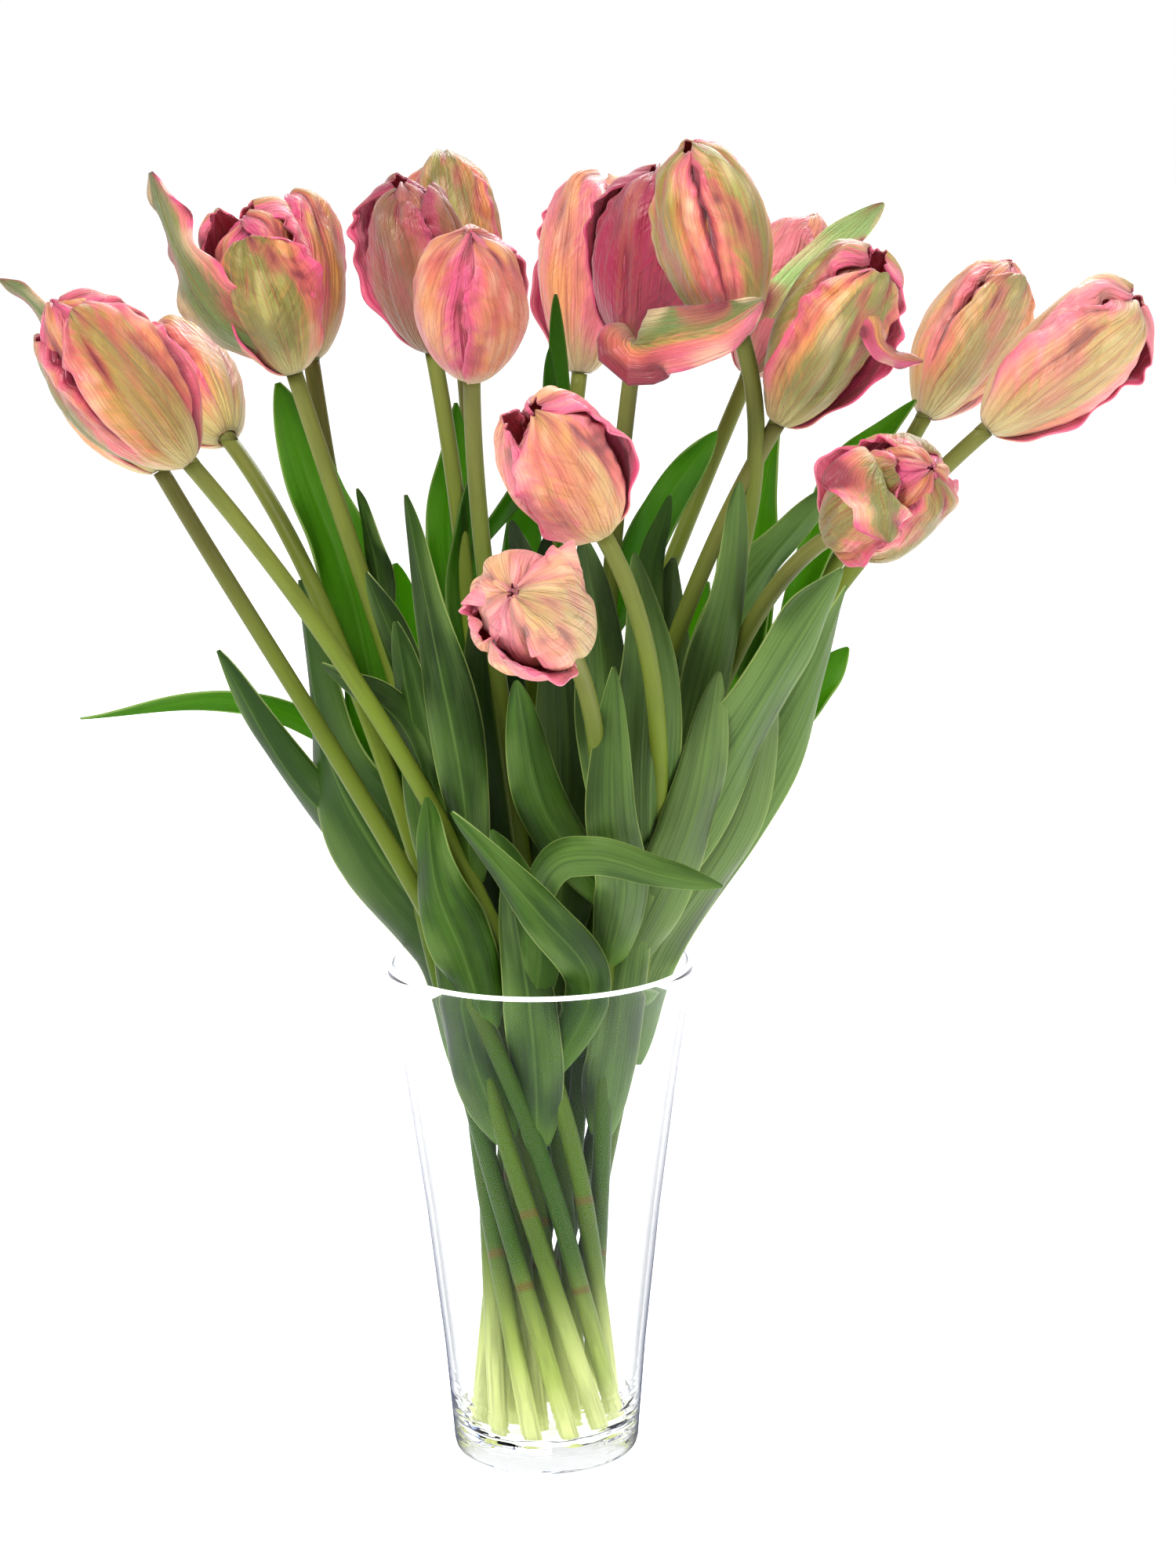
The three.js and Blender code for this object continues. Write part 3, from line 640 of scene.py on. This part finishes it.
for (name, *_), (foot, handles, top), leaves in zip(STEMS, curves, leaves_of):
    bm = new_bmesh()
    below = foot + (handles[0] - foot) * np.linspace(0, 1, ROWS_BELOW_WAIST + 1)[:-1, None]
    above = bezier(*handles, np.linspace(0, 1, ROWS_ABOVE_WAIST + 1))
    points = np.vstack((below, above, top))
    radii = STEM_RADIUS * (1 - STEM_TAPER * np.linspace(0, 1, len(points)))
    rod(bm, points, radii, sides=STEM_SIDES, material=0, begin=0.0)
    for vert in bm.verts:
        vert[bm.verts.layers.float["seed"]] = 0.5 + 0.5 * math.sin(int(name) * 2.3)
    for points, half, twist, seed in leaves:
        # Leaves at the back let the light through and get a painted green glow; those in front get paler
        # from left to right: painted light on the right-hand leaves and painted shade on the left-hand ones.
        behind = points[-1][1] > LIT_FROM_BEHIND
        fresh = 1.0 if behind else 0.25 + 0.25 * math.sin(21 * seed)
        pale = 0.0 if behind else max(-0.6, min(1.0, 0.25 + points[-1][0] / 150))
        values = {"green": fresh, "pink": 0.0, "seed": seed, "lean": 0.0, "tone": pale}
        leaf = strap(points, half, twist, seed, LEAF_FRILL)
        blade(bm, leaf, LEAF_THICKNESS, columns=12, rows=56, material=1, values=values)
    stem = new_object("tulip_stem_" + name, bm, [stem_green, leaf_green])
    node = next(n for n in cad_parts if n.startswith("leafy_stem") and name in n.split("_"))
    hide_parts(node)
    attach(stem, "root")

# The blooms: six soft petals in two layers of three, grown on a short receptacle, folded lengthwise and
# frilled at the lips. Outside they run from pink edges over salmon to an olive flame; inside they are
# deep pink. A few loose outer petals stand away from their cups. All is in millimetres and degrees.
BLOOMS = (
    # name, length, radius, turn, hand that the petals overlap by, how far shut, how deep the folds are,
    # roll of the petals' edges (outward, or inward below 0), tone (paler, or darker below 0),
    # green and pink of each of the three outer petals, and the share of its length that each has
    ("01", 95, 28, 310, -1, 0.93, 2.8, -7.0, -0.3, (0.6, 0.3), (0.3, 0.5), (1.5, 0.35), (0.88, 1, 0.92)),
    ("02", 84, 25, 30, 1, 0.93, 2.0, 0.5, 0.0, (0.5, 0.1), (0.8, 0.0), (0.7, 0.0), (1, 1, 1)),
    ("03", 84, 25, 80, 1, 0.92, 1.8, 0.5, 0.1, (0.5, 0.1), (0.5, 0.1), (0.5, 0.1), (1, 1, 1)),
    ("04", 80, 26, 275, 1, 0.86, 2.6, 2.6, -0.15, (1.1, 0.1), (0.4, 0.7), (0.8, 0.5), (0.84, 1, 0.95)),
    ("05", 78, 24, 330, 1, 0.90, 2.0, 1.0, 0.0, (0.3, 1.1), (0.1, 1.0), (0.3, 1.1), (1, 1, 1)),
    ("06", 82, 24, 230, 1, 0.90, 2.8, 3.0, -0.8, (1.1, 0.5), (0.5, 1.0), (0.6, 0.8), (1, 0.94, 1)),
    ("07", 98, 25, 270, 1, 0.90, 2.0, 0.6, -0.3, (1.0, 0.0), (1.0, 0.0), (1.0, 0.0), (1, 1, 1)),
    ("08", 80, 26, 335, -1, 0.96, 1.2, 0.8, -0.4, (0.1, 0.55), (0.1, 0.8), (0.0, 0.95), (1, 1, 1)),
    ("09", 94, 27, 220, 1, 0.90, 2.6, 3.0, 0.3, (0.0, 1.1), (0.1, 0.8), (0.0, 0.8), (1, 1, 1)),
    ("10", 88, 27, 240, 1, 0.92, 2.8, 1.5, -0.75, (0.0, 1.9), (0.1, 1.2), (0.1, 1.3), (1, 1, 1)),
    ("11", 88, 25.6, 328, -1, 0.93, 2.6, -7.0, 0.1, (0.8, 0.35), (0.6, 0.6), (0.7, 0.35), (1, 1, 1)),
    ("12", 86, 24, 220, 1, 0.90, 2.0, 2.0, 0.35, (0.0, 1.7), (0.1, 1.5), (0.1, 1.3), (1, 1, 1)),
    ("13", 88, 25, 285, -1, 0.89, 3.0, 3.6, 0.15, (1.2, 0.12), (0.6, 0.8), (0.9, 0.8), (0.92, 1, 1)),
    ("14", 86, 24, 300, -1, 0.92, 2.2, -5.0, 0.3, (0.9, 0.15), (0.3, 0.8), (0.4, 0.5), (0.92, 1, 1)),
    ("15", 88, 26, 285, -1, 0.88, 3.2, 3.4, 0.36, (0.6, 0.55), (0.3, 0.8), (0.5, 0.8), (1, 1, 1)),
    ("16", 78, 26, 190, 1, 0.92, 2.8, 3.4, -0.3, (0.9, 0.45), (0.9, 0.5), (0.9, 0.55), (0.88, 1, 0.95)),
    ("17", 72, 26, 300, -1, 0.94, 2.2, 2.6, 0.2, (0.25, 0.6), (0.1, 0.9), (0.1, 0.9), (1, 1, 0.9)),
    ("18", 74, 27, 350, 1, 0.93, 2.6, 3.2, 0.4, (0.5, 0.25), (0.2, 0.8), (0.1, 1.0), (1, 1, 0.74)),
)
LOOSE_PETALS = (
    # bloom, points of the midrib, half width, twist, green, pink, lean of the flame, pink inside, frill
    ("04", ((-114, -10, 538), (-140, -28, 556), (-158, -34, 588), (-170, -30, 625)),
     17, 14, 1.6, 0.55, -0.05, False, 0.34),
    ("10", ((48, 16, 544), (46, -40, 546), (60, -66, 550), (86, -70, 556), (104, -68, 568)),
     15, 10, 1.55, 0.3, 0.6, False, 0.3),
    ("13", ((136, -44, 566), (153, -50, 558), (157, -50, 546), (165, -48, 540), (177, -46, 538)),
     6, 20, 0.2, 0.9, 0.3, True, 0.3),
    ("12", ((107, 110, 522), (122, 96, 547), (142, 92, 574), (171, 92, 602)),
     14, 10, 2.2, 0.0, -1.0, False, 0.08),
    ("02", ((-178, -22, 496), (-208, -36, 540), (-226, -26, 566), (-243, -14, 577)),
     7, 20, 1.5, 0.2, -0.6, False, 0.1),
    ("16", ((151, -120, 500), (151, -140, 493), (152, -148, 483), (153, -151, 471)),
     21, 0, 1.1, 0.5, 0.0, False, 0.08),
)
OUTER_THICKNESS = 0.9
INNER_THICKNESS = 1.0
ROLLED_COVER = 1.15
TUCKED_COVER = 1.03
INNER_COVER = 0.8
RECEPTACLE_LENGTH = 7
RECEPTACLE_RADIUS = 4.1
RECEPTACLE_SWELL = 1.8
LOOSE_SEED = 0.2

petal_skin = bpy.data.materials.new("petal_skin")
tree = Tree(petal_skin)
across = tree.value("across")
along = tree.value("along")
inner = tree.value("inner")
green = tree.value("green")
pink = tree.value("pink")
seed = tree.value("seed")
lean = tree.value("lean")
relief = tree.value("relief")
tone = tree.value("tone")
streak = tree.noise(across * 5.0, along * 1.0, seed * 13.0, 3.0)
fine = tree.noise(across * 13.0, along * 1.5, seed * 9.0, 4.0)
drift = tree.noise(across * 1.8, along * 2.4, seed * 7.0)
patch = tree.noise(across * 3.0 + 4.0, along * 3.6, seed * 5.0, 3.0)
feather = tree.noise(across * 2.0, (along - abs(across) * 0.4) * 22.0, seed * 3.0, 3.0)
vein = tree.noise(across * 34.0, along * 2.4, seed * 21.0)
# The flame stands along the middle of a petal, and its feathered sides break up towards the edges.
off_flame = abs(across + lean) + (streak - 0.5) * 0.7 + (drift - 0.5) * 0.6 + (feather - 0.5) * 0.6
flame = (1.0 - off_flame.rise(0.12, 0.92)) * green
edge = (off_flame + pink * 0.35).rise(0.55, 1.05)
margin = (abs(across) + (feather - 0.5) * 0.25).rise(0.84, 0.98)
tip = off_flame * 0.6 + along * 0.8 + (fine - 0.5) * 0.4
green_side = (1.0 - (across + lean + (feather - 0.5) * 0.9).rise(0.0, 0.8)) * green.rise(1.15, 1.5)
colour = tree.paint(
    tree.mix(drift.rise(0.38, 0.62), rgb(0.93, 0.61, 0.33), rgb(0.89, 0.43, 0.39)),
    ("cream patches", patch.rise(0.5, 0.7) * 0.6, rgb(0.95, 0.75, 0.58)),
    ("fine rusty streaks", fine.rise(0.48, 0.62) * 0.55, rgb(0.78, 0.36, 0.22)),
    ("ochre round the flame", flame.rise(0.0, 0.5) * 0.85, rgb(0.68, 0.57, 0.22)),
    ("olive flame", (flame + (fine - 0.5) * 0.8).rise(0.35, 0.9) * 0.85, rgb(0.43, 0.47, 0.17)),
    ("pale green in the flame", flame * patch.rise(0.52, 0.7) * 0.6, rgb(0.74, 0.72, 0.38)),
    ("pink edges", edge * (pink * 0.9).rise(0.0, 0.9), rgb(0.91, 0.35, 0.52)),
    ("crimson feathers", (edge * pink + (feather - 0.5) * 0.5).rise(0.7, 1.3) * 0.8, rgb(0.78, 0.14, 0.36)),
    ("pink tip", tip.rise(0.9, 1.4) * pink.rise(0.0, 0.4) * 0.8, rgb(0.91, 0.38, 0.56)),
    ("pink margin", margin * 0.85, rgb(0.90, 0.28, 0.50)),
    ("green side of the greenest petals", green_side * 0.85, rgb(0.38, 0.50, 0.24)),
    ("yellow base", (1.0 - (along + (streak - 0.5) * 0.2).rise(0.02, 0.22)) * 0.8, rgb(0.80, 0.76, 0.46)),
    ("pale green petals", green.rise(1.7, 2.1) * 0.9, rgb(0.66, 0.82, 0.48)),
    ("deep pink petals", pink.rise(0.95, 1.6) * (0.35 + streak.rise(0.4, 0.65) * 0.5), rgb(0.80, 0.20, 0.40)),
    # The folds are red, partly the petals' own colour and partly painted shade, darkest in the deepest folds.
    ("red and painted shade in the folds", (-relief).rise(0.05, 0.5) * 0.6, rgb(0.74, 0.26, 0.30)),
    ("dark crimson and painted shade in the deepest folds", (-relief).rise(0.38, 0.85) * 0.9, rgb(0.48, 0.04, 0.18)),
    # A painted highlight along the ridges of the petals.
    ("painted light on the ridges", relief.rise(0.1, 0.9) * 0.5, rgb(1.0, 0.86, 0.68)),
    ("paler blooms", tone.rise(0.0, 1.0) * 0.65, rgb(1.0, 0.86, 0.72)),
    ("darker blooms", (-tone).rise(0.0, 1.0) * 0.75, rgb(0.48, 0.10, 0.20)),
    ("inner face", inner, tree.mix(streak.rise(0.3, 0.7), rgb(0.84, 0.22, 0.44), rgb(0.96, 0.52, 0.62))),
    ("veins", vein.rise(0.5, 0.62) * (0.42 - edge * 0.2), rgb(0.62, 0.26, 0.20)),
)
ribs = fine + feather * 0.6 + vein * 0.35
bump = tree.node("ShaderNodeBump", None, {"Strength": 1.0, "Distance": 0.0022, "Height": ribs})
silk = tree.node("ShaderNodeBsdfPrincipled", None, {
    "Base Color": colour,
    "Roughness": 0.36,
    "Specular IOR Level": 0.5,
    "Sheen Weight": 0.2,
    "Normal": bump,
})
glow = tree.node("ShaderNodeBsdfTranslucent", None, {"Color": rgb(0.95, 0.55, 0.42)})
tree.finish(tree.blend(0.09, silk, glow))


def petal(cup, base, axis, inset, cover, around, seed, share):
    """The surface of one petal of the cup, inset 0 for the outer layer and 1 for the inner one."""
    long, wide, hand, shut, fold, roll = cup
    side = unit(np.array((1.0, 0.0, 0.0)) - axis * axis[0])
    other = np.cross(axis, side)
    reach = (long - 0.8) * (1 - 0.05 * math.sin(9 * seed) - 0.05 * inset)
    spread = 2.5 * (1 - inset) * math.sin(7 * seed) ** 2

    def surface(s, part):
        # The cup: its radius at each height, and how far the petal reaches round it.
        t = part * share
        middle = np.sin(math.pi * t)
        swell = np.sin(math.pi * shut * t**0.75)
        r = wide * (0.19 * (1 - 0.7 * t) + (0.81 - 0.14 * inset) * swell) - 2.6 * inset * (1 - 0.4 * t)
        r = (r + spread * t**3) * (1 + 0.5 * t**4) * (1 - (0.66 + 0.08 * inset) * t**26)
        taper = np.sin(math.pi * (part * 0.93 + 0.04) ** 0.8) ** 0.45
        half = np.minimum(cover * wide * taper, 1.3 * r)
        half = half * (1 + 0.05 * np.sin(17 * t + 5 * seed) * t)
        angle = math.radians(around) + s * half / r

        # Five folds run lengthwise, each with its own depth, length and drift, over one broad wave.
        creases = np.zeros_like(s)
        for k in range(5):
            centre = 0.36 * k - 0.72 + 0.12 * math.sin(4 * seed + 2 * k)
            centre = centre + 0.14 * np.sin(3.1 * t + 6 * seed + 2 * k)
            deep = 0.65 + 0.5 * math.sin(11 * seed + 3 * k)
            length = 0.5 + 0.5 * np.sin(4 * t + 5 * seed + 4 * k)
            creases = creases - deep * length * np.exp(-(((s - centre) / 0.085) ** 2)) * middle**0.5
        creases = creases + 0.6 * np.sin(3.4 * s + 5.5 * t + 4 * seed) * middle

        # The edges: one rolled outward over the next petal, or both turned inward at a cleft.
        over = np.maximum(s * hand, 0)
        under = np.maximum(-s * hand, 0)
        wave = 0.6 * np.sin(13 * t + 5 * seed) + 0.4 * np.sin(31 * t + 7 * seed)
        if roll > 0:
            turned = roll * np.clip((over - 0.78) / 0.22, 0, 1) ** 1.5 * (1 + 0.7 * wave) * middle**0.5
            turned = turned - 1.5 * under**6
        else:
            turned = roll * np.clip((np.abs(s) - 0.84) / 0.16, 0, 1) ** 1.3 * (1 + 0.3 * wave) * middle**0.4
            turned = turned + 1.6 * np.exp(-(((np.abs(s) - 0.78) / 0.12) ** 2)) * middle
        turned = turned * (1 - inset)
        cleft = np.clip((np.abs(s) - 0.82) / 0.12, 0, 1) * (1 - inset) * (roll < 0)
        under_lip = under**4 * (roll > 0) * (1 - inset)

        # Finer relief: the frilled lips, ripples beside them and crinkles all over.
        frill = (0.9 + 0.3 * abs(roll)) * np.abs(s) ** 5 * t**0.5
        frill = frill * np.sin(25 * t + 2 * np.sin(9 * t) + 7 * seed)
        ripple = 0.28 * np.exp(-(((np.abs(s) - 0.72) / 0.2) ** 2)) * np.sin(58 * t + 9 * s + seed) * middle
        crinkle = 0.7 * np.sin(7 * s + 11 * t + seed * 5) * t + 0.5 * np.sin(13 * s - 17 * t + seed * 3) * t

        out = r + 1.2 * fold * creases * (1 - 0.5 * inset) + turned + frill + ripple + crinkle
        out = out + 0.06 * r * s * hand
        up = 0.8 + reach * (0.47 * t + 0.53 * np.sin(math.pi * t / 2)) * (1 - 0.03 * s**4)
        up = up - 0.5 * half * s * s * t**8 + 1.0 * t**6 * np.sin(7 * s + seed * 4)
        place = base + axis * up[..., None] + side * (out * np.cos(angle))[..., None]
        place = place + other * (out * np.sin(angle))[..., None]
        relief = creases * 0.55 - cleft - 0.6 * under_lip + (crinkle + ripple) * 0.5
        return place, np.clip(relief, -1, 1)

    return surface


stem_ends = {name: (neck, faces) for name, _, _, neck, faces in STEMS}
for name, long, wide, turn, hand, shut, fold, roll, tone, *tints, shares in BLOOMS:
    bm = new_bmesh()
    neck, faces = stem_ends[name]
    base = np.array(neck, float)
    axis = unit(np.array(faces, float) - base)
    part = np.linspace(0, 1, 5)
    points = base + axis * (RECEPTACLE_LENGTH * part)[:, None]
    rod(bm, points, RECEPTACLE_RADIUS + RECEPTACLE_SWELL * part**2, sides=STEM_SIDES, material=1, begin=0.9)
    cup = (long, wide, hand, shut, fold, roll)
    for k, ((green, pink), share) in enumerate(zip(tints, shares)):
        seed = int(name) * 0.37 + k * 0.61
        around = turn + 120 * k
        cover = ROLLED_COVER if roll > 0 else TUCKED_COVER
        outer = petal(cup, base, axis, 0, cover, around, seed, share)
        values = {"green": green, "pink": pink, "seed": seed, "tone": tone, "lean": 0.14 * math.sin(5 * seed)}
        blade(bm, outer, OUTER_THICKNESS, columns=40, rows=60, material=0, values=values)
        inner = petal(cup, base, axis, 1, INNER_COVER, around + 60, seed + 0.3, 1)
        values = {"green": 0.1, "pink": 1.0, "seed": seed + 0.3, "tone": tone, "lean": 0.0}
        blade(bm, inner, INNER_THICKNESS, columns=20, rows=28, material=0, values=values)
    for owner, points, half, twist, green, pink, lean, pink_inside, frill in LOOSE_PETALS:
        if owner == name:
            values = {"green": green, "pink": pink, "seed": LOOSE_SEED, "tone": 0.0, "lean": lean}
            if not pink_inside:
                values["inner"] = 0.0
            loose = strap(points, half, twist, LOOSE_SEED, frill)
            blade(bm, loose, INNER_THICKNESS, columns=24, rows=48, material=0, values=values)
    bloom = new_object("tulip_bloom_" + name, bm, [petal_skin, stem_green])
    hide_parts("bloom_" + name)
    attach(bloom, "root")
